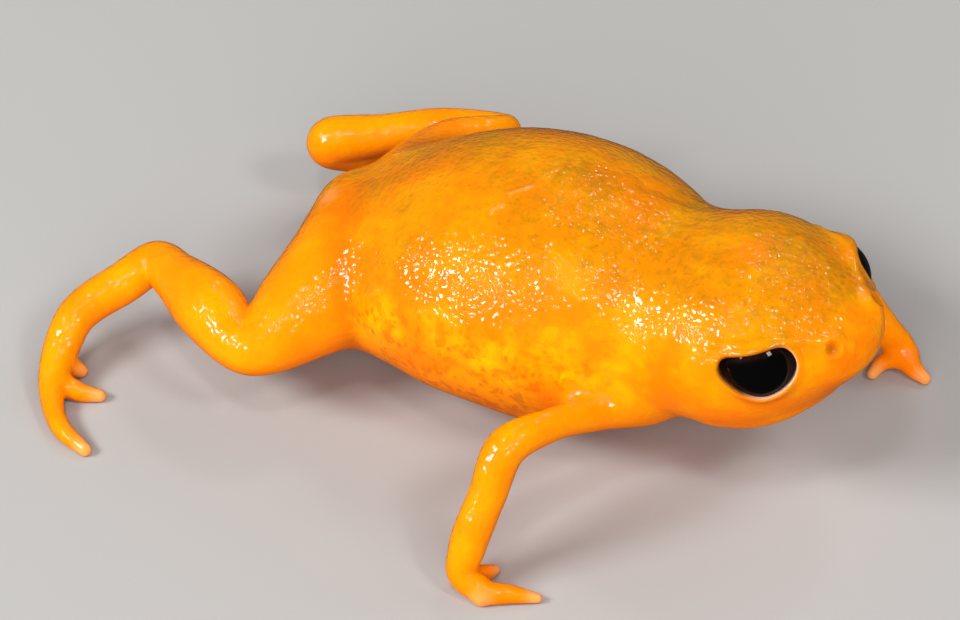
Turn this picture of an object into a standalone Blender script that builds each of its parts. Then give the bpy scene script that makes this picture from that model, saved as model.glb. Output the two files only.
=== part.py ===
"""Pumpkin toadlet, life size, caught in mid step: a still museum model.

The animal is one soft form. Ovals make its trunk and head, tapered curves make
its limbs and digits, and each melts into the next. Thin cuts at the neck and
at the joints part that form into closed solids. A solid is moulded by Geometry
Nodes from a block of distances to the form's surface.

Design lengths are in millimetres. +X is towards the snout, +Y is the animal's
left, +Z is up, and the animal stands on Z = 0.
"""

from collections import namedtuple
from math import cos, radians, sin

import bmesh
import bpy
import numpy as np

MM = 0.001
MODEL = "pumpkin_toadlet"

# Widths of the cuts: between two parts of flesh, and round an eye, which is
# itself only 1.3 mm wide.
CUT = 0.30
EYE_GAP = 0.11

# How far two shapes reach towards each other where they melt together, how much
# that swells the trunk round a limb's root, and how softly a stub's rim is carved.
TRUNK_MELT = 1.0
SNOUT_MELT = 0.6
NECK_MELT = 0.8
BROW_MELT = 0.35
LIMB_MELT = 0.12
ROOT_MELT = 0.40
ROOT_SWELL = ROOT_MELT / 4
STUB_CARVE = 0.16

# How each part is moulded: the spacing of its lattice of distances, and about
# how many triangles its surface keeps.
Mould = namedtuple("Mould", "grain triangles")
MOULDS = {
    "torso": Mould(0.17, 3400),
    "head": Mould(0.09, 8000),
    "eye": Mould(0.07, 500),
    "upper_arm": Mould(0.11, 500),
    "forearm": Mould(0.11, 500),
    "hand": Mould(0.08, 900),
    "thigh": Mould(0.13, 800),
    "shank": Mould(0.12, 900),
    "foot": Mould(0.08, 1900),
}
MARGIN = 0.35

# Blocks that hold the trunk and the head: lowest and highest corners.
TORSO_BLOCK = ((-4.7, -3.2, -0.1), (5.9, 4.8, 5.9))
HEAD_BLOCK = ((4.2, -2.6, 0.8), (9.2, 4.2, 5.7))

# Points settle on to a surface by short steps. NUDGE is how far apart its slope
# is measured, and LEAST_STEEP keeps a step from growing where it is flat.
NUDGE = 0.01
LONGEST_STEP = 0.06
LEAST_STEEP = 0.25

# Keeps a division away from nought.
TINY = 1e-6

# Closest that two corners of a surface lie, and the least angle in degrees
# of an edge that is shaded sharp.
WELD = 0.004
SHARP = 50

# The body stands square to the frame on this line. The head is turned a
# little to its right about the neck.
MIDLINE = 0.8
NECK = (4.0, MIDLINE, 3.0)
HEAD_YAW = -6.6
HEAD_ROLL = 0.6

# An oval is centred on the midline; its half sizes run along, across and up,
# and pitch lifts its front end, in degrees.
Oval = namedtuple("Oval", "x z length width height pitch")
BELLY = Oval(0.63, 2.73, 4.15, 3.33, 2.50, 10)
CHEST = Oval(2.52, 2.14, 2.78, 2.89, 1.81, 8)
RUMP = Oval(-2.27, 2.08, 1.47, 2.25, 1.45, 12)
VENT = Oval(-3.56, 2.90, 0.52, 0.75, 0.56, 0)
SKULL = Oval(5.51, 3.32, 2.41, 2.59, 1.92, 4)
SNOUT = Oval(6.88, 3.82, 1.64, 1.58, 0.95, 0)

# A limb runs through stations; each has a place and a radius.
Station = namedtuple("Station", "x y z radius")

# The ridge over each eye and on to the snout, on the right side.
BROW = (
    Station(6.02, -0.79, 4.14, 0.30),
    Station(6.87, -0.67, 4.29, 0.28),
    Station(7.32, -0.27, 4.21, 0.24),
    Station(8.00, 0.18, 4.17, 0.20),
)

RIGHT_ARM = (
    Station(4.05, -1.10, 1.95, 0.45),
    Station(3.47, -2.16, 2.23, 0.36),
    Station(2.93, -3.30, 2.63, 0.34),
    Station(2.40, -4.23, 2.57, 0.42),
    Station(2.31, -4.89, 1.85, 0.39),
    Station(2.16, -5.59, 0.82, 0.37),
    Station(2.17, -5.82, 0.41, 0.30),
    Station(2.73, -5.92, 0.20, 0.25),
    Station(3.26, -5.72, 0.16, 0.185),
    Station(3.72, -5.55, 0.10, 0.10),
)
LEFT_ARM = (
    Station(3.90, 2.70, 2.75, 0.70),
    Station(4.30, 3.71, 2.61, 0.40),
    Station(5.70, 4.60, 1.62, 0.38),
    Station(7.18, 4.12, 0.74, 0.34),
    Station(7.53, 4.17, 0.38, 0.28),
    Station(7.86, 3.91, 0.19, 0.21),
    Station(8.23, 3.76, 0.11, 0.12),
)
RIGHT_LEG = (
    Station(-2.88, 0.10, 2.14, 1.42),
    Station(-3.33, -1.53, 2.01, 1.06),
    Station(-3.95, -2.96, 1.81, 0.55),
    Station(-5.24, -2.21, 1.85, 0.72),
    Station(-6.27, -1.61, 1.79, 0.53),
    Station(-6.95, -1.21, 1.63, 0.44),
    Station(-7.38, -1.80, 1.41, 0.44),
    Station(-8.05, -2.87, 0.95, 0.40),
    Station(-8.07, -3.34, 0.66, 0.38),
    Station(-7.91, -4.12, 0.37, 0.30),
    Station(-7.56, -4.78, 0.20, 0.22),
    Station(-7.13, -5.21, 0.18, 0.20),
    Station(-6.50, -5.48, 0.11, 0.14),
)
LEFT_LEG = (
    Station(-2.70, 1.60, 2.10, 1.25),
    Station(-2.44, 3.70, 2.60, 0.58),
    Station(-1.72, 4.65, 2.54, 0.33),
    Station(-3.27, 4.63, 2.08, 0.40),
    Station(-4.26, 4.18, 1.87, 0.43),
    Station(-5.27, 3.69, 1.67, 0.53),
    Station(-4.10, 4.55, 0.95, 0.38),
    Station(-3.30, 5.10, 0.50, 0.36),
    Station(-2.50, 5.50, 0.30, 0.28),
    Station(-1.60, 5.80, 0.19, 0.22),
    Station(-0.90, 5.95, 0.17, 0.20),
    Station(-0.40, 6.00, 0.11, 0.14),
)

# The nearest place on a limb's curve is first looked for on this many straight
# pieces between two stations, then refined. The others keep its steps small.
PIECES = 3
MOST_TAPER = 0.9
LEAST_AWAY = 0.001
LEAST_TURN = 0.3

# The short digits beside the long one that ends each limb.
RIGHT_FINGERS = (
    (
        Station(2.29, -5.70, 0.30, 0.20),
        Station(2.49, -5.41, 0.18, 0.18),
        Station(2.60, -5.20, 0.12, 0.12),
    ),
    (Station(2.55, -5.90, 0.25, 0.24), Station(2.72, -6.07, 0.14, 0.16)),
)
LEFT_FINGERS = (
    (
        Station(7.49, 3.92, 0.28, 0.21),
        Station(7.27, 3.75, 0.20, 0.17),
        Station(7.19, 3.45, 0.12, 0.12),
    ),
    (Station(7.60, 4.08, 0.25, 0.24), Station(7.73, 4.23, 0.20, 0.16)),
)
RIGHT_TOES = (
    (
        Station(-7.76, -4.08, 0.30, 0.25),
        Station(-7.29, -4.02, 0.17, 0.19),
        Station(-6.95, -3.90, 0.12, 0.13),
    ),
    (Station(-7.96, -3.58, 0.38, 0.28), Station(-7.63, -3.42, 0.16, 0.15)),
)
LEFT_TOES = (
    (
        Station(-2.20, 5.60, 0.28, 0.24),
        Station(-1.60, 5.25, 0.17, 0.19),
        Station(-1.30, 5.05, 0.12, 0.13),
    ),
    (Station(-2.70, 5.40, 0.33, 0.27), Station(-2.40, 5.10, 0.16, 0.15)),
)

# The right eye, in the head's own frame. It is the dome of a ball that looks
# out, forward and up. It shows through an oval opening between two lids, each
# of which straightens a part of its edge.
EYE = np.array((6.64, -0.64, 3.83))
EYE_LOOK = np.array((0.45, -0.85, 0.28))
EYE_ALONG = np.array((0.84, 0.50, 0.15))
EYE_RADIUS = 0.85
EYE_BACK = 0.05
EYE_EDGE = 0.07
SOCKET_EDGE = 0.14
OPENING_MIDDLE = (0.03, 0.10)
OPENING_SIZE = (0.79, 0.58)
UPPER_LID_FACES = (-0.10, 0.995)
UPPER_LID = 0.48
LOWER_LID_FACES = (-0.62, -0.79)
LOWER_LID = 0.45
LIDS_MELT = 0.22
LID_RADIUS = 0.12
LID_LIFT = 0.02
LID_MELT = 0.22

# The right nostril, a pit in a low ring.
NOSTRIL = np.array((8.05, -0.06, 4.36))
NOSTRIL_PIT = 0.13
NOSTRIL_RING = 0.27
NOSTRIL_RIM = 0.10
NOSTRIL_RISE = 0.04

# The mouth is a groove round the front of the head, in a plane that rises
# towards the snout, with a lip above and below it.
MOUTH_CORNER = 5.6
MOUTH_HEIGHT = 2.05
MOUTH_RISE = 0.15
MOUTH_FADE = 0.5
MOUTH_DEPTH = 0.15
MOUTH_WIDTH = 0.14
LIP_SWELL = 0.05
LIP_OFFSET = 0.34
LIP_WIDTH = 0.22

# Places where thin cuts part the form. A cut is a plane, and its direction
# points away from the trunk. A root lies this many bones along its limb, and a
# joint at the station with this index. The stub left on the trunk is cut from
# the limb's first STUB_BONES bones.
Cut = namedtuple("Cut", "point direction")
NECK_CUT_POINT = (4.80, MIDLINE, 2.9)
NECK_CUT_TILT = -12.0
RIGHT_ARM_ROOT = 1.40
LEFT_ARM_ROOT = 0.95
RIGHT_LEG_ROOT = 0.95
LEFT_LEG_ROOT = 0.90
STUB_BONES = 2
RIGHT_ARM_JOINTS = (3, 5)
LEFT_ARM_JOINTS = (2, 3)
LEG_JOINTS = (2, 5)

ORANGE = (1.0, 0.36, 0.01)
DEEP_ORANGE = (0.95, 0.27, 0.01)
EYE_BLACK = (0.004, 0.004, 0.004)


def unit(vector):
    vector = np.asarray(vector, float)
    return vector / np.linalg.norm(vector)


def melt(a, b, reach):
    """Union of two distances, rounded where they meet."""
    share = np.clip(0.5 + 0.5 * (b - a) / reach, 0.0, 1.0)
    return b + (a - b) * share - reach * share * (1.0 - share)


def carve(a, b, reach):
    """What two distances share, with the edge between them rounded."""
    return -melt(-a, -b, reach)


def oval_distance(points, shape):
    """Distance to an oval's surface, good enough close to it."""
    pitch = radians(shape.pitch)
    local = points - (shape.x, MIDLINE, shape.z)
    along = local[:, 0] * cos(pitch) + local[:, 2] * sin(pitch)
    up = local[:, 2] * cos(pitch) - local[:, 0] * sin(pitch)
    local = np.stack((along, local[:, 1], up), 1)
    half = np.array((shape.length, shape.width, shape.height))
    level = np.linalg.norm(local / half, axis=1)
    slope = np.linalg.norm(local / half**2, axis=1)
    return level * (level - 1.0) / np.maximum(slope, TINY)


def curve_of(stations):
    """A smooth curve through a limb's stations: four terms of place and radius for each bone."""
    rows = np.array(stations)
    runs = np.diff(rows, axis=0)
    gaps = np.linalg.norm(runs[:, :3], axis=1)[:, None]
    steep = runs / gaps
    lean = gaps[:-1] / (gaps[:-1] + gaps[1:])
    between = steep[:-1] * (1.0 - lean) + steep[1:] * lean
    slopes = np.vstack((steep[:1], between, steep[-1:]))
    ahead, behind = gaps * slopes[:-1], gaps * slopes[1:]
    second, third = 3.0 * runs - 2.0 * ahead - behind, ahead + behind - 2.0 * runs
    return np.stack((rows[:-1], ahead, second, third), 1)


def along_curve(curve, foot):
    """Place, slope and bend of a curve, each with the radius; foot counts bones from its start."""
    bone = np.minimum(foot.astype(int), len(curve) - 1)
    share = (foot - bone)[:, None]
    start, first, second, third = (curve[bone, term] for term in range(4))
    place = start + share * (first + share * (second + share * third))
    slope = first + share * (2.0 * second + 3.0 * share * third)
    return place, slope, 2.0 * second + 6.0 * share * third


def limb_distance(points, curve):
    """Distance to a round limb that bends and tapers smoothly along a curve."""
    marks = np.arange(len(curve) * PIECES + 1) / PIECES
    course = along_curve(curve, marks)[0]
    nearest = np.full(len(points), np.inf)
    foot = np.zeros(len(points))
    for mark, start, end in zip(marks, course, course[1:]):
        local = points - start[:3]
        run = end[:3] - start[:3]
        length = np.linalg.norm(run)
        along = local @ run / length
        beside = np.sqrt(np.maximum((local**2).sum(1) - along**2, 0.0))
        taper = np.clip((start[3] - end[3]) / length, -MOST_TAPER, MOST_TAPER)
        touch = np.clip(along - beside * taper / np.sqrt(1.0 - taper**2), 0.0, length)
        away = np.hypot(along - touch, beside) - start[3] + touch * taper
        closer = away < nearest
        nearest[closer] = away[closer]
        foot[closer] = mark + touch[closer] / length / PIECES
    for _ in range(2):
        place, slope, bend = along_curve(curve, foot)
        offset = place[:, :3] - points
        away = np.maximum(np.linalg.norm(offset, axis=1), LEAST_AWAY)
        speed = (slope[:, :3] ** 2).sum(1)
        lean = (offset * slope[:, :3]).sum(1) / away
        turn = (speed + (offset * bend[:, :3]).sum(1) - lean**2) / away - bend[:, 3]
        turn = np.maximum(turn, LEAST_TURN * speed / away)
        foot = np.clip(foot - (lean - slope[:, 3]) / turn, 0.0, len(curve))
    place = along_curve(curve, foot)[0]
    return np.linalg.norm(place[:, :3] - points, axis=1) - place[:, 3]


def mirrored(points):
    """The same points seen from the other side of the midline."""
    across = 2.0 * MIDLINE - points[:, 1]
    return np.stack((points[:, 0], across, points[:, 2]), 1)


def head_frame():
    """Rows are the turned head's along, across and up directions."""
    yaw, roll = radians(HEAD_YAW), radians(HEAD_ROLL)
    along = np.array((cos(yaw), sin(yaw), 0.0))
    level = np.array((-sin(yaw), cos(yaw), 0.0))
    upright = np.array((0.0, 0.0, 1.0))
    across = level * cos(roll) + upright * sin(roll)
    return np.stack((along, across, np.cross(along, across)))


def to_head(points):
    """Points as the turned head sees them."""
    return (points - NECK) @ head_frame().T + NECK


def from_head(point):
    return (np.asarray(point) - NECK) @ head_frame() + NECK


def trunk_distance(points):
    distance = oval_distance(points, BELLY)
    distance = melt(distance, oval_distance(points, CHEST), TRUNK_MELT)
    distance = melt(distance, oval_distance(points, RUMP), TRUNK_MELT)
    return melt(distance, oval_distance(points, VENT), TRUNK_MELT / 2)


def skull_distance(points):
    """The head without its eyes, nostrils and mouth."""
    local = to_head(points)
    distance = oval_distance(local, SKULL)
    distance = melt(distance, oval_distance(local, SNOUT), SNOUT_MELT)
    for side in (local, mirrored(local)):
        distance = melt(distance, limb_distance(side, curve_of(BROW)), BROW_MELT)
    return distance


def core_distance(points):
    return melt(trunk_distance(points), skull_distance(points), NECK_MELT)


def side_of(points, cut):
    """How far points lie past a cut, on the side its direction points to."""
    return (points - np.array(cut.point)) @ cut.direction


def face_before(cut):
    """The cut face of the part on the trunk's side; it points off that part."""
    direction = np.array(cut.direction)
    return Cut(cut.point - direction * CUT / 2, direction)


def face_after(cut):
    """The cut face of the part on the far side; it points off that part."""
    direction = np.array(cut.direction)
    return Cut(cut.point + direction * CUT / 2, -direction)


FLOOR = Cut((0.0, 0.0, 0.0), (0.0, 0.0, -1.0))


def root_cut(stations, foot):
    """A cut square across a limb, so many bones along it."""
    place, slope, _ = along_curve(curve_of(stations), np.array([foot]))
    return Cut(tuple(place[0, :3]), unit(slope[0, :3]))


def joint_cut(stations, index):
    """A cut through a joint, half way between the bones that meet there."""
    before, here, after = (np.array(s[:3]) for s in stations[index - 1:index + 2])
    return Cut(tuple(here), unit(unit(here - before) + unit(after - here)))


def neck_cut():
    tilt = radians(NECK_CUT_TILT)
    return Cut(NECK_CUT_POINT, np.array((cos(tilt), 0.0, sin(tilt))))


ROOTS = (
    (RIGHT_ARM, RIGHT_ARM_ROOT),
    (LEFT_ARM, LEFT_ARM_ROOT),
    (RIGHT_LEG, RIGHT_LEG_ROOT),
    (LEFT_LEG, LEFT_LEG_ROOT),
)


def body_distance(points):
    """Trunk and head with the short stub that each limb grows from."""
    distance = core_distance(points)
    for stations, foot in ROOTS:
        face = face_before(root_cut(stations, foot))
        limb = limb_distance(points, curve_of(stations)[:STUB_BONES])
        stub = carve(limb, side_of(points, face), STUB_CARVE)
        distance = melt(distance, stub, ROOT_MELT)
    return distance


def eye_axes():
    """The eye's own directions: along its opening, up across it, and out."""
    look = unit(EYE_LOOK)
    up = unit(np.cross(look, EYE_ALONG))
    return np.cross(up, look), up, look


def opening_distance(points):
    """Distance across the lids' opening, negative where the eye shows."""
    along, up, look = eye_axes()
    local = points - EYE
    flat = np.stack((local @ along, local @ up), 1)
    size = np.array(OPENING_SIZE)
    middle = flat - OPENING_MIDDLE
    level = np.linalg.norm(middle / size, axis=1)
    slope = np.linalg.norm(middle / size**2, axis=1)
    oval = level * (level - 1.0) / np.maximum(slope, TINY)
    upper_lid = flat @ np.array(UPPER_LID_FACES) - UPPER_LID
    lower_lid = flat @ np.array(LOWER_LID_FACES) - LOWER_LID
    opening = carve(carve(oval, upper_lid, LIDS_MELT / 2), lower_lid, LIDS_MELT)
    return opening, local @ look


def with_eye(distance, points):
    """Raises the lids as a rounded wall and sinks the eye's socket."""
    opening, outward = opening_distance(points)
    height = np.linalg.norm(points - EYE, axis=1) - EYE_RADIUS - LID_LIFT
    wall = np.hypot(opening - LID_RADIUS, np.maximum(height, 0.0)) - LID_RADIUS
    distance = melt(distance, carve(wall, -outward, LID_RADIUS), LID_MELT)
    socket = np.maximum(opening, EYE_BACK - EYE_GAP - outward)
    return carve(distance, -socket, SOCKET_EDGE)


def eye_distance(points):
    """The dome that fills the socket, clear of it all round."""
    opening, outward = opening_distance(points)
    dome = np.linalg.norm(points - EYE, axis=1) - EYE_RADIUS
    dome = carve(dome, opening + EYE_GAP, EYE_EDGE)
    return carve(dome, EYE_BACK - outward, EYE_EDGE)


def with_nostril(distance, points):
    away = np.linalg.norm(points - NOSTRIL, axis=1)
    ring = NOSTRIL_RISE * np.exp(-((away - NOSTRIL_RING) / NOSTRIL_RIM) ** 2)
    return np.maximum(distance - ring, NOSTRIL_PIT - away)


def with_mouth(distance, points):
    """Presses the mouth's groove into the head and swells the lips."""
    forward = points[:, 0] - MOUTH_CORNER
    height = points[:, 2] - MOUTH_HEIGHT - MOUTH_RISE * forward
    reach = np.clip(forward / MOUTH_FADE, 0.0, 1.0)
    groove = MOUTH_DEPTH * np.exp(-(height / MOUTH_WIDTH) ** 2)
    lips = LIP_SWELL * np.exp(-((np.abs(height) - LIP_OFFSET) / LIP_WIDTH) ** 2)
    return distance + reach * (groove - lips)


def head_distance(points):
    distance = body_distance(points)
    local = to_head(points)
    distance = with_mouth(distance, local)
    for side in (local, mirrored(local)):
        distance = with_eye(distance, side)
        distance = with_nostril(distance, side)
    return distance


def limb_part(curve, digits):
    """Makes the distance function of one length of a limb, clear of the trunk."""

    def distance_of(points):
        distance = limb_distance(points, curve)
        for digit in digits:
            distance = melt(distance, limb_distance(points, curve_of(digit)), LIMB_MELT)
        return np.maximum(distance, CUT + ROOT_SWELL - core_distance(points))

    return distance_of


def box_round(stations):
    """Lowest and highest corners of a block that holds some stations."""
    places = np.array([s[:3] for s in stations])
    radii = np.array([s.radius for s in stations])[:, None]
    low = (places - radii).min(0) - MARGIN
    high = (places + radii).max(0) + MARGIN
    return low, high


def moulding_tree():
    """Geometry Nodes that turn a block of distances into a closed surface."""
    tree = bpy.data.node_groups.new("mould", "GeometryNodeTree")
    face = tree.interface
    face.new_socket("Block", in_out="INPUT", socket_type="NodeSocketGeometry")
    face.new_socket("Low", in_out="INPUT", socket_type="NodeSocketVector")
    face.new_socket("High", in_out="INPUT", socket_type="NodeSocketVector")
    for axis in "XYZ":
        face.new_socket("Count " + axis, in_out="INPUT", socket_type="NodeSocketInt")
    face.new_socket("Surface", in_out="OUTPUT", socket_type="NodeSocketGeometry")
    link = tree.links.new
    given = tree.nodes.new("NodeGroupInput")
    made = tree.nodes.new("NodeGroupOutput")

    def maths(kind, operation, *values):
        node = tree.nodes.new(kind)
        node.operation = operation
        for socket, value in zip(node.inputs, values):
            if isinstance(value, (int, float)):
                socket.default_value = value
            elif value is not None:
                link(value, socket)
        return node.outputs[0]

    def scalar(operation, *values):
        return maths("ShaderNodeMath", operation, *values)

    def vector(operation, *values):
        return maths("ShaderNodeVectorMath", operation, *values)

    place = tree.nodes.new("GeometryNodeInputPosition").outputs[0]
    span = vector("SUBTRACT", given.outputs["High"], given.outputs["Low"])
    share = vector("DIVIDE", vector("SUBTRACT", place, given.outputs["Low"]), span)
    split = tree.nodes.new("ShaderNodeSeparateXYZ")
    link(share, split.inputs[0])
    steps = []
    for index, axis in enumerate("XYZ"):
        last = scalar("SUBTRACT", given.outputs["Count " + axis], 1.0)
        steps.append(scalar("ROUND", scalar("MULTIPLY", split.outputs[index], last)))
    row = scalar("MULTIPLY_ADD", steps[0], given.outputs["Count Y"], steps[1])
    order = scalar("MULTIPLY_ADD", row, given.outputs["Count Z"], steps[2])

    named = tree.nodes.new("GeometryNodeInputNamedAttribute")
    named.data_type = "FLOAT"
    named.inputs["Name"].default_value = "distance"
    sample = tree.nodes.new("GeometryNodeSampleIndex")
    sample.data_type = "FLOAT"
    sample.domain = "POINT"
    link(given.outputs["Block"], sample.inputs["Geometry"])
    link(named.outputs[0], sample.inputs["Value"])
    link(order, sample.inputs["Index"])

    volume = tree.nodes.new("GeometryNodeVolumeCube")
    volume.inputs["Background"].default_value = -1.0
    link(scalar("MULTIPLY", sample.outputs[0], -1.0), volume.inputs["Density"])
    link(given.outputs["Low"], volume.inputs["Min"])
    link(given.outputs["High"], volume.inputs["Max"])
    for axis in "XYZ":
        link(given.outputs["Count " + axis], volume.inputs["Resolution " + axis])
    surface = tree.nodes.new("GeometryNodeVolumeToMesh")
    surface.resolution_mode = "GRID"
    surface.inputs["Threshold"].default_value = 0.0
    link(volume.outputs[0], surface.inputs["Volume"])
    link(surface.outputs[0], made.inputs[0])
    return tree


def block_of_distances(distance_of, low, high, grain):
    """A mesh of loose lattice points that carry their distance."""
    counts = np.ceil((high - low) / grain).astype(int) + 1
    high = low + grain * (counts - 1)
    ticks = [low[i] + grain * np.arange(counts[i]) for i in range(3)]
    points = np.stack(np.meshgrid(*ticks, indexing="ij"), -1).reshape(-1, 3)
    block = bpy.data.meshes.new("block")
    block.vertices.add(len(points))
    values = block.attributes.new("distance", "FLOAT", "POINT")
    values.data.foreach_set("value", distance_of(points).astype(np.float32))
    return block, high, counts


def set_inputs(modifier, **values):
    """Sets a Geometry Nodes modifier's inputs by their names."""
    for item in modifier.node_group.interface.items_tree:
        if item.in_out == "INPUT" and item.name.replace(" ", "_") in values:
            modifier[item.identifier] = values[item.name.replace(" ", "_")]


def settle(places, distance_of):
    """Moves points on to the form's true surface by two short steps."""
    for _ in range(2):
        distance = distance_of(places)
        slope = np.stack([
            distance_of(places + NUDGE * axis) - distance_of(places - NUDGE * axis)
            for axis in np.eye(3)
        ], 1) / (2.0 * NUDGE)
        steep = np.maximum((slope**2).sum(1), LEAST_STEEP)
        move = -(distance / steep)[:, None] * slope
        places = places + np.clip(move, -LONGEST_STEP, LONGEST_STEP)
    return places


def thinned(mesh, triangles, parts):
    """The same surface with fewer triangles, fewest where it is smooth."""
    source = bpy.data.objects.new("source", mesh)
    parts.objects.link(source)
    modifier = source.modifiers.new("thin out", "DECIMATE")
    modifier.ratio = min(1.0, triangles / (2.0 * len(mesh.polygons)))
    shape = source.evaluated_get(bpy.context.evaluated_depsgraph_get())
    thin = bpy.data.meshes.new_from_object(shape)
    bpy.data.objects.remove(source)
    return thin


def slice_off(work, face):
    """Cuts along a plane, drops what lies past it and closes the cut flat."""
    everything = work.verts[:] + work.edges[:] + work.faces[:]
    point = np.array(face.point) * MM
    bmesh.ops.bisect_plane(work, geom=everything, plane_co=tuple(point),
                           plane_no=tuple(face.direction), clear_outer=True)
    rim = [edge for edge in work.edges if edge.is_boundary]
    if rim:
        bmesh.ops.triangle_fill(work, edges=rim, use_beauty=True)


def keep_largest(work):
    """Drops every loose scrap but the biggest closed surface."""
    left = set(work.verts)
    islands = []
    while left:
        island = {left.pop()}
        edge = list(island)
        while edge:
            near = {e.other_vert(v) for v in edge for e in v.link_edges} - island
            island |= near
            edge = list(near)
        left -= island
        islands.append(island)
    islands.sort(key=len)
    for island in islands[:-1]:
        bmesh.ops.delete(work, geom=list(island), context="VERTS")


def cleaned(mesh, faces):
    """Cuts the mesh at its flat faces and leaves it as one closed surface."""
    work = bmesh.new()
    work.from_mesh(mesh)
    bmesh.ops.remove_doubles(work, verts=work.verts, dist=WELD * MM)
    for face in faces:
        slice_off(work, face)
    bmesh.ops.remove_doubles(work, verts=work.verts, dist=WELD * MM)
    bmesh.ops.dissolve_degenerate(work, edges=work.edges, dist=WELD * MM)
    keep_largest(work)
    bmesh.ops.recalc_face_normals(work, faces=work.faces)
    bmesh.ops.triangulate(work, faces=work.faces)
    work.to_mesh(mesh)
    work.free()


def finish(name, mesh, material, parts):
    mesh.name = name
    mesh.materials.clear()
    mesh.materials.append(material)
    mesh.shade_smooth()
    mesh.set_sharp_from_angle(angle=radians(SHARP))
    part = bpy.data.objects.new(name, mesh)
    parts.objects.link(part)
    return part


def mould(name, distance_of, corners, faces, form, material, parts, tree):
    """Moulds one part of the animal as a closed solid, and cuts its flat faces."""
    low, high = (np.array(corner, float) for corner in corners)
    block, high, counts = block_of_distances(distance_of, low, high, form.grain)
    source = bpy.data.objects.new("block", block)
    parts.objects.link(source)
    modifier = source.modifiers.new("mould", "NODES")
    modifier.node_group = tree
    set_inputs(modifier, Low=tuple(low), High=tuple(high), Count_X=int(counts[0]),
               Count_Y=int(counts[1]), Count_Z=int(counts[2]))
    shape = source.evaluated_get(bpy.context.evaluated_depsgraph_get())
    mesh = bpy.data.meshes.new_from_object(shape)
    bpy.data.objects.remove(source)

    places = np.empty(3 * len(mesh.vertices))
    mesh.vertices.foreach_get("co", places)
    places = settle(places.reshape(-1, 3), distance_of) * MM
    mesh.vertices.foreach_set("co", places.ravel())
    mesh = thinned(mesh, form.triangles, parts)
    cleaned(mesh, faces)
    return finish(name, mesh, material, parts)


def surface_finish(name, colour, roughness):
    material = bpy.data.materials.new(name)
    material.use_nodes = True
    shader = material.node_tree.nodes["Principled BSDF"]
    shader.inputs["Base Color"].default_value = (*colour, 1.0)
    shader.inputs["Roughness"].default_value = roughness
    shader.inputs["Metallic"].default_value = 0.0
    material.diffuse_color = (*colour, 1.0)
    return material


def make_eye(side, parts, tree):
    """Moulds an eye, seated in its socket."""
    name = side + "_eye"
    turned = mirrored if side == "left" else np.array
    centre = from_head(turned(EYE[None])[0])
    mould(name, lambda points: eye_distance(turned(to_head(points))),
          (centre - EYE_RADIUS - MARGIN, centre + EYE_RADIUS + MARGIN), (),
          MOULDS["eye"], surface_finish(name, EYE_BLACK, 0.05), parts, tree)


def make_trunk_and_head(parts, tree):
    neck = neck_cut()
    mould("torso", body_distance, TORSO_BLOCK, (face_before(neck), FLOOR),
          MOULDS["torso"], surface_finish("torso", ORANGE, 0.35), parts, tree)
    mould("head", head_distance, HEAD_BLOCK, (face_after(neck),),
          MOULDS["head"], surface_finish("head", ORANGE, 0.35), parts, tree)


def make_limb(side, names, stations, digits, root, joints, parts, tree):
    """Moulds a limb's three lengths, parted at its root and its two joints."""
    cuts = [root_cut(stations, root)] + [joint_cut(stations, index) for index in joints]
    firsts = (0, joints[0] - 1, joints[1] - 1)
    lasts = (joints[0] + 1, joints[1] + 1, len(stations) - 1)
    for index, name in enumerate(names):
        last = index == len(names) - 1
        own = stations[firsts[index]:lasts[index] + 1]
        own_digits = digits if last else ()
        faces = [face_after(cuts[index])]
        faces.append(FLOOR if last else face_before(cuts[index + 1]))
        form = limb_part(curve_of(stations)[firsts[index]:lasts[index]], own_digits)
        corners = box_round(own + tuple(s for digit in own_digits for s in digit))
        full_name = side + "_" + name
        mould(full_name, form, corners, faces, MOULDS[name],
              surface_finish(full_name, DEEP_ORANGE, 0.3), parts, tree)


def main():
    for old in list(bpy.data.objects):
        bpy.data.objects.remove(old, do_unlink=True)
    parts = bpy.data.collections.new(MODEL)
    bpy.context.scene.collection.children.link(parts)
    tree = moulding_tree()
    make_trunk_and_head(parts, tree)
    for side in ("right", "left"):
        make_eye(side, parts, tree)
    arm = ("upper_arm", "forearm", "hand")
    leg = ("thigh", "shank", "foot")
    make_limb("right", arm, RIGHT_ARM, RIGHT_FINGERS, RIGHT_ARM_ROOT,
              RIGHT_ARM_JOINTS, parts, tree)
    make_limb("left", arm, LEFT_ARM, LEFT_FINGERS, LEFT_ARM_ROOT,
              LEFT_ARM_JOINTS, parts, tree)
    make_limb("right", leg, RIGHT_LEG, RIGHT_TOES, RIGHT_LEG_ROOT,
              LEG_JOINTS, parts, tree)
    make_limb("left", leg, LEFT_LEG, LEFT_TOES, LEFT_LEG_ROOT,
              LEG_JOINTS, parts, tree)


main()
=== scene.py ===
"""Looks of the life-size pumpkin toadlet, caught in mid step.

One skin covers the trunk, the head and the limbs. It is moulded from the same
ovals and tapered curves as the solids, with lids, nostrils, a mouth and folds,
and Geometry Nodes raise its lumps and glands. The eyes are glossy domes in it.

Design lengths are in millimetres. +X is towards the snout, +Y is the animal's
left, +Z is up, and the animal stands on Z = 0.
"""

from collections import namedtuple
from math import cos, radians, sin

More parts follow.
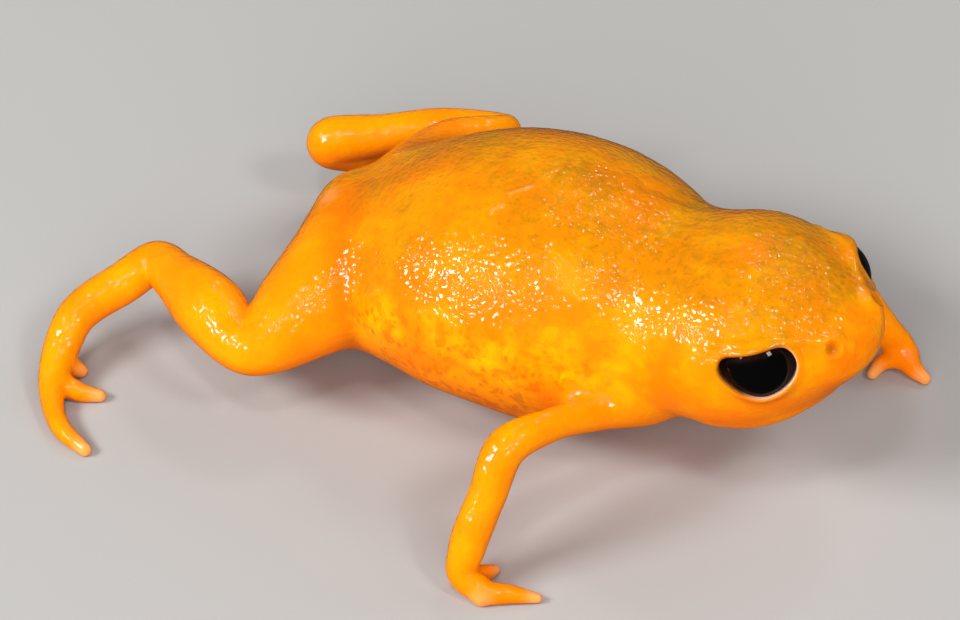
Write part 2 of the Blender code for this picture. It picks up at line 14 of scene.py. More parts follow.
import bmesh
import bpy
import numpy as np
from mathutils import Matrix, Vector


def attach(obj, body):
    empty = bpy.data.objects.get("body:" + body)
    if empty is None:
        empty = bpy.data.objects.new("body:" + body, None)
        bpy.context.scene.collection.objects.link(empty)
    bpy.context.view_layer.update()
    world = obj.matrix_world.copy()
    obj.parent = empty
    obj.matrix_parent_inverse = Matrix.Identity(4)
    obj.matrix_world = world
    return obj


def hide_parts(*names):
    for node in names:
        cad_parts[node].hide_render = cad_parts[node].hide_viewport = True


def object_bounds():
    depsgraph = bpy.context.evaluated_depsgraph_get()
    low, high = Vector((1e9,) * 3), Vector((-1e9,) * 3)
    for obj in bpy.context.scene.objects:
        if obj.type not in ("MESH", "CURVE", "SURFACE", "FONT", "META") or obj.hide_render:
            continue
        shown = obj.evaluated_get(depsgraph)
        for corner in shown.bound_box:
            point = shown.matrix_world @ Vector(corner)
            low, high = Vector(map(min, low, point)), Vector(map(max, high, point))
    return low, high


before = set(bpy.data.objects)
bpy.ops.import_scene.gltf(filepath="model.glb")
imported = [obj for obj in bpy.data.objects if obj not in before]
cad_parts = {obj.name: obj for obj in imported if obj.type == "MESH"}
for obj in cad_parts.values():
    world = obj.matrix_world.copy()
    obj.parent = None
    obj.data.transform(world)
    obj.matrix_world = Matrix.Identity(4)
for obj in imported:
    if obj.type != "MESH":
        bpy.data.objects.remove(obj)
solids_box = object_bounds()

MM = 0.001
FLESH = [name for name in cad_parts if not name.endswith("_eye")]

# How far two shapes reach towards each other where they melt together. A limb
# and the trunk take the arm's or the leg's reach, changing over between the
# two places along the trunk.
TRUNK_MELT = 1.0
SNOUT_MELT = 0.6
NECK_MELT = 0.8
BROW_MELT = 0.35
LIMB_MELT = 0.12
LEG_ROOT_MELT = 0.50
ARM_ROOT_MELT = 0.40
ROOTS_CHANGE = (0.5, 2.0)

# Spacing of the lattices that the skin and the eyes are moulded from, and how
# far a shape is worked out beyond its own surface.
SKIN_GRAIN = 0.072
EYE_GRAIN = 0.05
MARGIN = 0.45

# A corner of a mesh settles on the true surface in a few steps, none longer
# than this. The slope of the distance is felt a nudge to each side.
SETTLING_STEPS = 2
LONGEST_STEP = 0.04
NUDGE = 0.01
LEAST_SLOPE = 0.25

# The body stands square to the frame on this line. The head is turned a
# little to its right about the neck.
MIDLINE = 0.8
NECK = (4.0, MIDLINE, 3.0)
HEAD_YAW = -6.6
HEAD_ROLL = 0.6

# An oval is centred on the midline; its half sizes run along, across and up,
# and pitch lifts its front end, in degrees.
Oval = namedtuple("Oval", "x z length width height pitch")
BELLY = Oval(0.63, 2.73, 4.15, 3.33, 2.50, 10)
CHEST = Oval(2.52, 2.14, 2.78, 2.89, 1.81, 8)
RUMP = Oval(-2.27, 2.08, 1.47, 2.25, 1.45, 12)
VENT = Oval(-3.56, 2.90, 0.52, 0.75, 0.56, 0)
SKULL = Oval(5.51, 3.32, 2.41, 2.59, 1.92, 4)
SNOUT = Oval(6.88, 3.82, 1.64, 1.58, 0.95, 0)

# A limb runs through stations; each has a place and a radius.
Station = namedtuple("Station", "x y z radius")
BROW = (
    Station(6.02, -0.79, 4.14, 0.30),
    Station(6.87, -0.67, 4.29, 0.28),
    Station(7.32, -0.27, 4.21, 0.24),
    Station(8.00, 0.18, 4.17, 0.20),
)
RIGHT_ARM = (
    Station(4.05, -1.10, 1.95, 0.45),
    Station(3.47, -2.16, 2.23, 0.36),
    Station(2.93, -3.30, 2.63, 0.34),
    Station(2.40, -4.23, 2.57, 0.42),
    Station(2.31, -4.89, 1.85, 0.39),
    Station(2.16, -5.59, 0.82, 0.37),
    Station(2.17, -5.82, 0.41, 0.30),
    Station(2.73, -5.92, 0.20, 0.25),
    Station(3.26, -5.72, 0.16, 0.185),
    Station(3.72, -5.55, 0.10, 0.10),
)
LEFT_ARM = (
    Station(3.90, 2.70, 2.75, 0.70),
    Station(4.30, 3.71, 2.61, 0.40),
    Station(5.70, 4.60, 1.62, 0.38),
    Station(7.18, 4.12, 0.74, 0.34),
    Station(7.53, 4.17, 0.38, 0.28),
    Station(7.86, 3.91, 0.19, 0.21),
    Station(8.23, 3.76, 0.11, 0.12),
)
RIGHT_LEG = (
    Station(-2.88, 0.10, 2.14, 1.42),
    Station(-3.33, -1.53, 2.01, 1.06),
    Station(-3.95, -2.96, 1.81, 0.55),
    Station(-5.24, -2.21, 1.85, 0.72),
    Station(-6.27, -1.61, 1.79, 0.53),
    Station(-6.95, -1.21, 1.63, 0.44),
    Station(-7.38, -1.80, 1.41, 0.44),
    Station(-8.05, -2.87, 0.95, 0.40),
    Station(-8.07, -3.34, 0.66, 0.38),
    Station(-7.91, -4.12, 0.37, 0.30),
    Station(-7.56, -4.78, 0.20, 0.22),
    Station(-7.13, -5.21, 0.18, 0.20),
    Station(-6.50, -5.48, 0.11, 0.14),
)
LEFT_LEG = (
    Station(-2.70, 1.60, 2.10, 1.25),
    Station(-2.44, 3.70, 2.60, 0.58),
    Station(-1.72, 4.65, 2.54, 0.33),
    Station(-3.27, 4.63, 2.08, 0.40),
    Station(-4.26, 4.18, 1.87, 0.43),
    Station(-5.27, 3.69, 1.67, 0.53),
    Station(-4.10, 4.55, 0.95, 0.38),
    Station(-3.30, 5.10, 0.50, 0.36),
    Station(-2.50, 5.50, 0.30, 0.28),
    Station(-1.60, 5.80, 0.19, 0.22),
    Station(-0.90, 5.95, 0.17, 0.20),
    Station(-0.40, 6.00, 0.11, 0.14),
)
LIMBS = (RIGHT_ARM, LEFT_ARM, RIGHT_LEG, LEFT_LEG)

# The nearest place on a limb's curve is first looked for on this many straight
# pieces between two stations, then refined in a few steps. The others keep
# those steps small.
PIECES = 3
FOOT_STEPS = 2
MOST_TAPER = 0.9
LEAST_AWAY = 0.001
LEAST_TURN = 0.3

# The short digits beside the long one that ends each limb.
SHORT_DIGITS = (
    (Station(2.29, -5.70, 0.30, 0.20),
     Station(2.49, -5.41, 0.18, 0.18),
     Station(2.60, -5.20, 0.12, 0.12)),
    (Station(2.55, -5.90, 0.25, 0.24),
     Station(2.72, -6.07, 0.14, 0.16)),
    (Station(7.49, 3.92, 0.28, 0.21),
     Station(7.27, 3.75, 0.20, 0.17),
     Station(7.19, 3.45, 0.12, 0.12)),
    (Station(7.60, 4.08, 0.25, 0.24),
     Station(7.73, 4.23, 0.20, 0.16)),
    (Station(-7.76, -4.08, 0.30, 0.25),
     Station(-7.29, -4.02, 0.17, 0.19),
     Station(-6.95, -3.90, 0.12, 0.13)),
    (Station(-7.96, -3.58, 0.38, 0.28),
     Station(-7.63, -3.42, 0.16, 0.15)),
    (Station(-2.20, 5.60, 0.28, 0.24),
     Station(-1.60, 5.25, 0.17, 0.19),
     Station(-1.30, 5.05, 0.12, 0.13)),
    (Station(-2.70, 5.40, 0.33, 0.27),
     Station(-2.40, 5.10, 0.16, 0.15)),
)

# A pale spot of skin above the vent.
PALE_SPOT = (-3.65, 0.35, 3.3)

# The right eye, in the head's own frame. It is the dome of a ball that looks
# out, forward and up. It shows through an oval opening between the lids, which
# is straightened along the upper lid and along the rear of the lower one.
EYE = np.array((6.64, -0.64, 3.83))
EYE_LOOK = np.array((0.45, -0.85, 0.28))
EYE_ALONG = np.array((0.84, 0.50, 0.15))
EYE_RADIUS = 0.85
EYE_BACK = 0.05
EYE_TUCK = 0.09
OPENING_MIDDLE = (0.03, 0.10)
OPENING_SIZE = (0.79, 0.58)
UPPER_LID_FACES = (-0.10, 0.995)
UPPER_LID = 0.48
LOWER_LID_FACES = (-0.62, -0.79)
LOWER_LID = 0.45
LIDS_MELT = 0.22
LID_RADIUS = 0.08
LID_LIFT = 0.02
LID_MELT = 0.22
LID_EDGE = 0.05
LID_SHINE_FACES = (0.75, -0.66)

# The right nostril, a small pit in a shallow dimple with a low ring round it.
NOSTRIL = np.array((8.05, -0.06, 4.36))
NOSTRIL_DIMPLE = 0.13
NOSTRIL_DEPTH = 0.05
NOSTRIL_PIT = 0.045
NOSTRIL_RING = 0.20
NOSTRIL_RIM = 0.07
NOSTRIL_RISE = 0.03

# The mouth is a groove round the front of the head, in a plane that rises
# towards the snout, with a lip above and below it.
MOUTH_CORNER = 5.6
MOUTH_HEIGHT = 2.05
MOUTH_RISE = 0.15
MOUTH_DEPTH = 0.07
MOUTH_WIDTH = 0.07
LIP_SWELL = 0.03
LIP_OFFSET = 0.22
LIP_WIDTH = 1.6 * MOUTH_WIDTH
MOUTH_FADE = 0.5

# The crease where a thigh's skin folds against the flank.
FOLD_DEPTH = 0.03
FOLD_WIDTH = 0.22
FOLD_FRONT = 0.0

# Creases and low ridges of the skin: how deep, how wide, and the points that
# each runs through. A ridge has a depth below zero. The canthus is the edge
# between the top and the side of the head, in the head's own frame.
Crease = namedtuple("Crease", "depth width course")
CANTHUS = Crease(-0.055, 0.10, (
    (6.0, -1.3, 4.48), (6.7, -1.05, 4.65), (7.25, -0.6, 4.62), (8.0, 0.17, 4.48)))
NECK_FOLD = Crease(0.05, 0.16, ((2.8, 1.7, 5.0), (3.25, 1.9, 4.8), (3.75, 2.1, 4.6)))
BACK_RIDGES = (
    Crease(-0.035, 0.06, ((0.3, -0.35, 5.06), (0.45, -0.15, 5.12))),
    Crease(-0.035, 0.06, ((0.45, 0.15, 5.18), (0.8, 0.45, 5.26))),
)
CREASES = (NECK_FOLD,) + BACK_RIDGES
# How wide the painted highlight along each ridge on the back is, and how far round the ridges the
# mesh is made finer.
RIDGE_HIGHLIGHT_WIDTH = 0.035
RIDGE_MARGIN = 0.2

# The skin's marks fade in between two values. These go by how far the skin
# faces up, SIDE_TO_BELLY by how far it faces down.
SIDE_TO_BACK = (0.15, 0.75)
SIDE_TO_BELLY = (-0.25, 0.55)
LUMPS_START = (-0.6, 0.2)
GRAINS_START = (-0.7, 0.1)

# These go by a place or a distance, in millimetres: how much nearer a limb lies
# than the trunk, how far forward a place is, how high the hand stands over the
# ground, and how far away a digit's tip is.
TRUNK_TO_LIMB = (-0.5, 0.5)
MOUTH_START = (-0.1, 0.3)
SNOUT_TIP = (7.4, 8.3)
CHEEK_START = (3.8, 5.2)
FLANK_END = (3.0, 4.2)
HAND_START = (0.0, 1.0)
HAND_TOP = (0.3, 1.2)
TIP_FADE = (0.05, 0.38)

# How strong the marks are that aren't full. The cheek, hand, nostril, seam and mouth marks are
# painted shade.
SNOUT_BARENESS = 0.8
CHEEK_SHADE = 0.7
HAND_SHADE = 0.6
NOSTRIL_SHADE = 0.65
SEAM_SHADE = 0.7
MOUTH_SHADE = 0.5

# The marks round the eye, in millimetres from the edge of the lids. A painted highlight runs along
# the lower front of the lids, and painted shade along the rest.
LID_LINE = 0.022
LID_SHADE = 0.07
LID_BARE = (0.05, 0.35)
LID_SHINE_START = (-0.1, 0.3)
EYE_EDGE = 0.16

# The camera stands where the photograph was taken from.
VIEW_AZIMUTH = 25.0
VIEW_ELEVATION = 42.0
VIEW_DISTANCE = 200.0
VIEW_TARGET = (0.14, -0.60, 2.50)
SENSOR_WIDTH = 36.0
PICTURE_WIDTH = 960
PIXELS_PER_MM = 49.0


def unit(vector):
    vector = np.asarray(vector, float)
    return vector / np.linalg.norm(vector)


def melt(a, b, reach):
    """Union of two distances, rounded where they meet."""
    share = np.clip(0.5 + 0.5 * (b - a) / reach, 0.0, 1.0)
    return b + (a - b) * share - reach * share * (1.0 - share)


def carve(a, b, reach):
    """What two distances share, with the edge between them rounded."""
    return -melt(-a, -b, reach)


def ramp(values, low, high):
    """0 below low, 1 above high, and smooth between them."""
    share = np.clip((values - low) / (high - low), 0.0, 1.0)
    return share * share * (3.0 - 2.0 * share)


def oval_distance(points, shape):
    """Distance to an oval's surface, good enough close to it."""
    pitch = radians(shape.pitch)
    local = points - (shape.x, MIDLINE, shape.z)
    along = local[:, 0] * cos(pitch) + local[:, 2] * sin(pitch)
    up = local[:, 2] * cos(pitch) - local[:, 0] * sin(pitch)
    local = np.stack((along, local[:, 1], up), 1)
    half = np.array((shape.length, shape.width, shape.height))
    level = np.linalg.norm(local / half, axis=1)
    slope = np.linalg.norm(local / half**2, axis=1)
    return level * (level - 1.0) / np.maximum(slope, 1e-6)


def curve_of(stations):
    """A smooth curve through a limb's stations: four terms of place and radius for each bone."""
    rows = np.array(stations)
    runs = np.diff(rows, axis=0)
    gaps = np.linalg.norm(runs[:, :3], axis=1)[:, None]
    steep = runs / gaps
    lean = gaps[:-1] / (gaps[:-1] + gaps[1:])
    between = steep[:-1] * (1.0 - lean) + steep[1:] * lean
    slopes = np.vstack((steep[:1], between, steep[-1:]))
    ahead, behind = gaps * slopes[:-1], gaps * slopes[1:]
    second = 3.0 * runs - 2.0 * ahead - behind
    return np.stack((rows[:-1], ahead, second, ahead + behind - 2.0 * runs), 1)


def along_curve(curve, foot):
    """Place, slope and bend of a curve, each with the radius; foot counts bones from its start."""
    bone = np.minimum(foot.astype(int), len(curve) - 1)
    share = (foot - bone)[:, None]
    start, first, second, third = (curve[bone, term] for term in range(4))
    place = start + share * (first + share * (second + share * third))
    slope = first + share * (2.0 * second + 3.0 * share * third)
    return place, slope, 2.0 * second + 6.0 * share * third


def limb_distance(points, stations):
    """Distance to a round limb that bends and tapers smoothly through its stations."""
    curve = curve_of(stations)
    marks = np.arange(len(curve) * PIECES + 1) / PIECES
    course = along_curve(curve, marks)[0]
    nearest = np.full(len(points), np.inf)
    foot = np.zeros(len(points))
    for mark, start, end in zip(marks, course, course[1:]):
        local = points - start[:3]
        run = end[:3] - start[:3]
        length = np.linalg.norm(run)
        along = local @ run / length
        beside = np.sqrt(np.maximum((local**2).sum(1) - along**2, 0.0))
        taper = np.clip((start[3] - end[3]) / length, -MOST_TAPER, MOST_TAPER)
        touch = np.clip(along - beside * taper / np.sqrt(1.0 - taper**2), 0.0, length)
        away = np.hypot(along - touch, beside) - start[3] + touch * taper
        closer = away < nearest
        nearest[closer] = away[closer]
        foot[closer] = mark + touch[closer] / length / PIECES
    for _ in range(FOOT_STEPS):
        place, slope, bend = along_curve(curve, foot)
        offset = place[:, :3] - points
        away = np.maximum(np.linalg.norm(offset, axis=1), LEAST_AWAY)
        speed = (slope[:, :3] ** 2).sum(1)
        lean = (offset * slope[:, :3]).sum(1) / away
        turn = (speed + (offset * bend[:, :3]).sum(1) - lean**2) / away - bend[:, 3]
        turn = np.maximum(turn, LEAST_TURN * speed / away)
        foot = np.clip(foot - (lean - slope[:, 3]) / turn, 0.0, len(curve))
    place = along_curve(curve, foot)[0]
    return np.linalg.norm(place[:, :3] - points, axis=1) - place[:, 3]


def course_distance(points, course):
    """Distance to a thin curve through the points of a course."""
    return limb_distance(points, [Station(*place, 0.0) for place in course])


def mirrored(points):
    """The same points seen from the other side of the midline."""
    across = 2.0 * MIDLINE - points[:, 1]
    return np.stack((points[:, 0], across, points[:, 2]), 1)


def head_frame():
    """Rows are the turned head's along, across and up directions."""
    yaw, roll = radians(HEAD_YAW), radians(HEAD_ROLL)
    along = np.array((cos(yaw), sin(yaw), 0.0))
    level = np.array((-sin(yaw), cos(yaw), 0.0))
    upright = np.array((0.0, 0.0, 1.0))
    across = level * cos(roll) + upright * sin(roll)
    return np.stack((along, across, np.cross(along, across)))


def to_head(points):
    """Points as the turned head sees them."""
    return (points - NECK) @ head_frame().T + NECK


def from_head(point):
    return (np.asarray(point) - NECK) @ head_frame() + NECK


def trunk_distance(points):
    distance = oval_distance(points, BELLY)
    distance = melt(distance, oval_distance(points, CHEST), TRUNK_MELT)
    distance = melt(distance, oval_distance(points, RUMP), TRUNK_MELT)
    return melt(distance, oval_distance(points, VENT), TRUNK_MELT / 2)


def eye_axes():
    """The eye's own directions: along its opening, up across it, and out."""
    look = unit(EYE_LOOK)
    up = unit(np.cross(look, EYE_ALONG))
    return np.cross(up, look), up, look


def across_eye(points):
    """Places on the plane across the eye, and heights out from its middle."""
    along, up, look = eye_axes()
    local = points - EYE
    return np.stack((local @ along, local @ up), 1), local @ look


def opening_distance(points):
    """Distance across the lids' opening, negative where the eye shows."""
    flat, outward = across_eye(points)
    size = np.array(OPENING_SIZE)
    middle = flat - OPENING_MIDDLE
    level = np.linalg.norm(middle / size, axis=1)
    slope = np.linalg.norm(middle / size**2, axis=1)
    oval = level * (level - 1.0) / np.maximum(slope, 1e-6)
    upper_lid = flat @ np.array(UPPER_LID_FACES) - UPPER_LID
    lower_lid = flat @ np.array(LOWER_LID_FACES) - LOWER_LID
    return carve(carve(oval, upper_lid, LIDS_MELT / 2), lower_lid, LIDS_MELT), outward


def with_eye(distance, points):
    """Raises the lids as a rounded wall and opens the skin between them."""
    opening, outward = opening_distance(points)
    height = np.linalg.norm(points - EYE, axis=1) - EYE_RADIUS - LID_LIFT
    wall = np.hypot(opening - LID_RADIUS, np.maximum(height, 0.0)) - LID_RADIUS
    distance = melt(distance, carve(wall, -outward, LID_RADIUS), LID_MELT)
    return carve(distance, -np.maximum(opening, EYE_BACK + EYE_TUCK - outward), LID_EDGE)


def with_nostril(distance, points):
    away = np.linalg.norm(points - NOSTRIL, axis=1)
    ring = NOSTRIL_RISE * np.exp(-((away - NOSTRIL_RING) / NOSTRIL_RIM) ** 2)
    dimple = NOSTRIL_DEPTH * np.exp(-(away / NOSTRIL_DIMPLE) ** 2)
    return carve(distance + dimple - ring, NOSTRIL_PIT - away, NOSTRIL_PIT)


def with_mouth(distance, points):
    """Presses the mouth's groove into the head and swells the lips."""
    forward = points[:, 0] - MOUTH_CORNER
    height = points[:, 2] - MOUTH_HEIGHT - MOUTH_RISE * forward
    reach = ramp(forward, 0.0, MOUTH_FADE)
    groove = MOUTH_DEPTH * np.exp(-(height / MOUTH_WIDTH) ** 2)
    lips = LIP_SWELL * np.exp(-((np.abs(height) - LIP_OFFSET) / LIP_WIDTH) ** 2)
    return distance + reach * (groove - lips)


def inside_box(points, low, high):
    return np.all((points > low) & (points < high), axis=1)


def box_round(stations):
    """Lowest and highest corners of a block that holds some stations."""
    places = np.array([s[:3] for s in stations])
    radii = np.array([s.radius for s in stations])[:, None]
    return (places - radii).min(0) - MARGIN, (places + radii).max(0) + MARGIN


def with_crease(distance, points, crease):
    """Presses a crease into the skin, or raises it as a ridge."""
    stations = [Station(*place, 0.0) for place in crease.course]
    near = inside_box(points, *box_round(stations))
    away = limb_distance(points[near], stations)
    distance = distance.copy()
    distance[near] += crease.depth * np.exp(-(away / crease.width) ** 2)
    return distance


def head_distance(points):
    """The head with its ridges, lids, nostrils and mouth."""
    local = to_head(points)
    distance = oval_distance(local, SKULL)
    distance = melt(distance, oval_distance(local, SNOUT), SNOUT_MELT)
    distance = with_mouth(distance, local)
    for side in (local, mirrored(local)):
        distance = melt(distance, limb_distance(side, BROW), BROW_MELT)
        distance = with_crease(distance, side, CANTHUS)
        distance = with_eye(distance, side)
        distance = with_nostril(distance, side)
    return distance


def melt_in(distance, points, stations, reach):
    """Melts a limb into a form, working only on the points close to it."""
    near = inside_box(points, *box_round(stations))
    limb = limb_distance(points[near], stations)
    distance[near] = melt(distance[near], limb, reach)


HEAD_BOX = ((2.3, -3.0, 0.2), (9.4, 4.6, 6.2))


def core_distance(points):
    """Trunk and head, without the limbs."""
    distance = trunk_distance(points)
    near = inside_box(points, *HEAD_BOX)
    distance[near] = melt(distance[near], head_distance(points[near]), NECK_MELT)
    return distance


def limbs_distance(points):
    """All four limbs with their digits, by themselves."""
    distance = np.full(len(points), MARGIN)
    for stations in LIMBS:
        melt_in(distance, points, stations, LIMB_MELT)
    for stations in SHORT_DIGITS:
        melt_in(distance, points, stations, LIMB_MELT)
    return distance


def skin_distance(points):
    """The whole animal's surface, folded where the thighs meet the flank."""
    core, limbs = core_distance(points), limbs_distance(points)
    forward = ramp(points[:, 0], *ROOTS_CHANGE)
    distance = melt(core, limbs, LEG_ROOT_MELT + (ARM_ROOT_MELT - LEG_ROOT_MELT) * forward)
    fold = FOLD_DEPTH * np.exp(-((core - limbs) / FOLD_WIDTH) ** 2)
    distance = distance + fold * ramp(-points[:, 0], -FOLD_FRONT, 1.0 - FOLD_FRONT)
    for crease in CREASES:
        distance = with_crease(distance, points, crease)
    return np.maximum(distance, -points[:, 2])


def eye_distance(points):
    """The dome that fills the lids' opening, its edge tucked under them."""
    opening, outward = opening_distance(points)
    dome = np.linalg.norm(points - EYE, axis=1) - EYE_RADIUS
    return np.maximum(np.maximum(dome, opening - EYE_TUCK), EYE_BACK - outward)


class Tree:
    """A node tree with short ways to add a node and to link or set its inputs."""

    def __init__(self, tree):
        self.tree = tree

    def node(self, kind, *inputs, **settings):
        node = self.tree.nodes.new(kind)
        named = {key: value for key, value in settings.items() if key[0].isupper()}
        for key, value in settings.items():
            if key not in named:
                setattr(node, key, value)
        for socket, value in zip(node.inputs, inputs):
            self.feed(socket, value)
        for key, value in named.items():
            self.feed(node.inputs[key.replace("_", " ")], value)
        return node

    def feed(self, socket, value):
        if isinstance(value, bpy.types.NodeSocket):
            self.tree.links.new(value, socket)
        elif value is not None:
            socket.default_value = value

    def maths(self, operation, *values):
        return self.node("ShaderNodeMath", *values, operation=operation).outputs[0]

    def vector(self, operation, *values):
        return self.node("ShaderNodeVectorMath", *values, operation=operation).outputs[0]


def geometry_tree(name, inputs):
    """An empty Geometry Nodes tree with named inputs, given as name and kind."""
    tree = bpy.data.node_groups.new(name, "GeometryNodeTree")
    for label, kind in inputs:
        tree.interface.new_socket(label, in_out="INPUT", socket_type="NodeSocket" + kind)
    tree.interface.new_socket("Surface", in_out="OUTPUT", socket_type="NodeSocketGeometry")
    build = Tree(tree)
    given = build.node("NodeGroupInput").outputs
    made = build.node("NodeGroupOutput").inputs[0]
    return build, given, made


def finish_tree(build, surface, finish, made):
    """Ends a tree with real geometry that carries its finish."""
    real = build.node("GeometryNodeRealizeInstances", surface).outputs[0]
    finished = build.node("GeometryNodeSetMaterial", Geometry=real, Material=finish)
    build.feed(made, finished.outputs[0])


def moulding_tree():
    """Geometry Nodes that turn a block of distances into a closed surface."""
    build, given, made = geometry_tree("mould", (
        ("Block", "Geometry"), ("Low", "Vector"), ("High", "Vector"),
        ("Count X", "Int"), ("Count Y", "Int"), ("Count Z", "Int"), ("Finish", "Material")))
    place = build.node("GeometryNodeInputPosition").outputs[0]
    span = build.vector("SUBTRACT", given["High"], given["Low"])
    share = build.vector("DIVIDE", build.vector("SUBTRACT", place, given["Low"]), span)
    split = build.node("ShaderNodeSeparateXYZ", share)
    steps = []
    for index, axis in enumerate("XYZ"):
        last = build.maths("SUBTRACT", given["Count " + axis], 1.0)
        steps.append(build.maths("ROUND", build.maths("MULTIPLY", split.outputs[index], last)))
    row = build.maths("MULTIPLY_ADD", steps[0], given["Count Y"], steps[1])
    order = build.maths("MULTIPLY_ADD", row, given["Count Z"], steps[2])
    named = build.node("GeometryNodeInputNamedAttribute", data_type="FLOAT", Name="distance")
    sample = build.node("GeometryNodeSampleIndex", data_type="FLOAT", domain="POINT",
                        Geometry=given["Block"], Value=named.outputs[0], Index=order)
    volume = build.node(
        "GeometryNodeVolumeCube", Background=-1.0, Min=given["Low"], Max=given["High"],
        Density=build.maths("MULTIPLY", sample.outputs[0], -1.0),
        Resolution_X=given["Count X"], Resolution_Y=given["Count Y"], Resolution_Z=given["Count Z"])
    surface = build.node("GeometryNodeVolumeToMesh", resolution_mode="GRID",
                         Volume=volume.outputs[0], Threshold=0.0)
    finish_tree(build, surface.outputs[0], given["Finish"], made)
    return build.tree


def use_tree(target, tree, values):
    """Puts a Geometry Nodes tree on an object, with inputs given by name."""
    modifier = target.modifiers.new(tree.name, "NODES")
    modifier.node_group = tree
    for item in tree.interface.items_tree:
        if item.in_out == "INPUT" and item.name in values:
            modifier[item.identifier] = values[item.name]


def evaluated_mesh(target):
    """The plain mesh that an object's modifiers make. The object is removed."""
    shape = target.evaluated_get(bpy.context.evaluated_depsgraph_get())
    mesh = bpy.data.meshes.new_from_object(shape)
    bpy.data.objects.remove(target)
    return mesh


def placed(name, mesh):
    piece = bpy.data.objects.new(name, mesh)
    bpy.context.scene.collection.objects.link(piece)
    return piece


def places_of(mesh):
    places = np.empty(3 * len(mesh.vertices))
    mesh.vertices.foreach_get("co", places)
    return places.reshape(-1, 3)


def normals_of(mesh):
    normals = np.empty(3 * len(mesh.vertices))
    mesh.vertex_normals.foreach_get("vector", normals)
    return normals.reshape(-1, 3)


def settle(places, distance_of):
    """Moves points on to the form's true surface by a few short steps."""
    for _ in range(SETTLING_STEPS):
        distance = distance_of(places)
        slope = np.stack([
            distance_of(places + NUDGE * axis) - distance_of(places - NUDGE * axis)
            for axis in np.eye(3)
        ], 1) / (2.0 * NUDGE)
        steep = np.maximum((slope**2).sum(1), LEAST_SLOPE)
        move = -(distance / steep)[:, None] * slope
        places = places + np.clip(move, -LONGEST_STEP, LONGEST_STEP)
    return places


def mould(name, distance_of, low, high, grain, finish, tree):
    """Moulds a closed surface from a distance function, in millimetres."""
    low, high = np.array(low, float), np.array(high, float)
    counts = np.ceil((high - low) / grain).astype(int) + 1
    high = low + grain * (counts - 1)
    ticks = [low[i] + grain * np.arange(counts[i]) for i in range(3)]
    points = np.stack(np.meshgrid(*ticks, indexing="ij"), -1).reshape(-1, 3)
    block = bpy.data.meshes.new(name)
    block.vertices.add(len(points))
    values = block.attributes.new("distance", "FLOAT", "POINT")
    values.data.foreach_set("value", distance_of(points).astype(np.float32))
    source = placed(name, block)
    use_tree(source, tree, {
        "Low": tuple(low), "High": tuple(high), "Count X": int(counts[0]),
        "Count Y": int(counts[1]), "Count Z": int(counts[2]), "Finish": finish})
    mesh = evaluated_mesh(source)
    mesh.vertices.foreach_set("co", settle(places_of(mesh), distance_of).ravel())
    mesh.update()
    return mesh


def keep_largest(mesh):
    """Drops every loose scrap but the biggest closed surface."""
    work = bmesh.new()
    work.from_mesh(mesh)
    left = set(work.verts)
    islands = []
    while left:
        island = {left.pop()}
        edge = list(island)
        while edge:
            near = {e.other_vert(v) for v in edge for e in v.link_edges} - island
            island |= near
            edge = list(near)
        left -= island
        islands.append(island)
    islands.sort(key=len)
    for island in islands[:-1]:
        bmesh.ops.delete(work, geom=list(island), context="VERTS")
    bmesh.ops.recalc_face_normals(work, faces=work.faces)
    work.to_mesh(mesh)
    work.free()


def mark(mesh, name, values):
    """Stores one value for each corner of the mesh, for its finish to read."""
    layer = mesh.attributes.new(name, "FLOAT", "POINT")
    layer.data.foreach_set("value", np.clip(values, 0.0, 1.0).astype(np.float32))


def tip_share(places):
    """1 at the digits' tips and on the pale spot, fading over a third of a millimetre."""
    tips = [stations[-1] for stations in LIMBS + SHORT_DIGITS] + [PALE_SPOT]
    away = np.min([np.linalg.norm(places - tip[:3], axis=1) for tip in tips], axis=0)
    return 1.0 - ramp(away, *TIP_FADE)


def refined(mesh, distance_of, is_fine):
    """Halves the mesh where is_fine says so, and settles it once more."""
    work = bmesh.new()
    work.from_mesh(mesh)
    fine = is_fine(places_of(mesh))
    edges = [e for e in work.edges if fine[e.verts[0].index] and fine[e.verts[1].index]]
    bmesh.ops.subdivide_edges(work, edges=edges, cuts=1, use_grid_fill=True)
    bmesh.ops.triangulate(work, faces=[f for f in work.faces if len(f.verts) > 4])
    work.to_mesh(mesh)
    work.free()
    mesh.vertices.foreach_set("co", settle(places_of(mesh), distance_of).ravel())
    mesh.update()


def near_details(places):
    """True round the eyes, the nostrils, the ridges on the back and the digits."""
    head = to_head(places)
    fine = np.zeros(len(places), bool)
    for back_ridge in BACK_RIDGES:
        low, high = np.min(back_ridge.course, 0), np.max(back_ridge.course, 0)
        fine |= inside_box(places, low - RIDGE_MARGIN, high + RIDGE_MARGIN)
    for side in (head, mirrored(head)):
        opening, outward = opening_distance(side)
        fine |= (outward > 0.0) & (np.abs(opening) < 3.0 * LID_RADIUS)
        fine |= np.linalg.norm(side - NOSTRIL, axis=1) < 1.6 * NOSTRIL_RING
    return fine | (tip_share(places) > 0.0)


def seam_shade(difference, places):
    """Painted shade in the fold: 1 where a thigh folds against the flank, fading to both sides."""
    seam = np.exp(-(difference / (1.5 * FOLD_WIDTH)) ** 2)
    return SEAM_SHADE * seam * ramp(-places[:, 0], -FOLD_FRONT, 1.0 - FOLD_FRONT)


